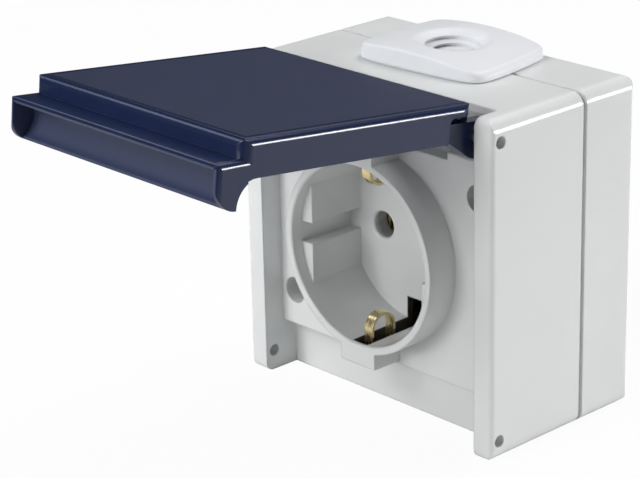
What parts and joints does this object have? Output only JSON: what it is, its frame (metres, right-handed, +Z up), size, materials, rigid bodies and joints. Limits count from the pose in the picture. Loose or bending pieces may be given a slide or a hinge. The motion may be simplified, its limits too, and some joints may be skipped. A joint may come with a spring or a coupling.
{
  "type": "surface mount power socket",
  "caption": "Surface mount power socket with a grey box, round earthed plug well between side cheeks, hinged dark blue lid with a finger scoop, and a cable grommet on top.",
  "frame": {"origin": "centre of the flat back face, on the axis of the plug well", "axes": "+Y points into the wall that the socket is fixed to, so the front faces -Y; +Z is up; +X is to the right for a person who faces the socket"},
  "size_m": [0.074, 0.1094, 0.0833],
  "materials": {
    "housing": "satin",
    "lid_plastic": "fine matte face with glossy edges",
    "pale_rubber": "smooth satin",
    "dark_rubber": "matte",
    "carrier": "matte",
    "brass": "bright rolled",
    "steel": "zinc plated"
  },
  "bodies": {
    "base": {"rear_box": "housing", "front_cover": "housing", "cover_seal": "dark_rubber", "cable_grommet": "pale_rubber", "contact_carrier": "carrier", "contact_left": "brass", "contact_right": "brass", "contact_springs": "steel", "earth_strap": "brass", "clamp_plates": "steel", "terminal_screws": "steel", "carrier_screws": "steel", "cover_screws": "steel", "screw_seals": "dark_rubber", "hinge_pin_left": "steel", "hinge_pin_right": "steel"},
    "lid": {"lid": "lid_plastic", "lid_seal": "dark_rubber"}
  },
  "joints": [
    {"name": "lid_hinge", "type": "hinge", "parent": "base", "child": "lid", "pos_m": [0, -0.0408, 0.0324], "axis": [1, 0, 0], "range_deg": [0, 96.6]}
  ]
}
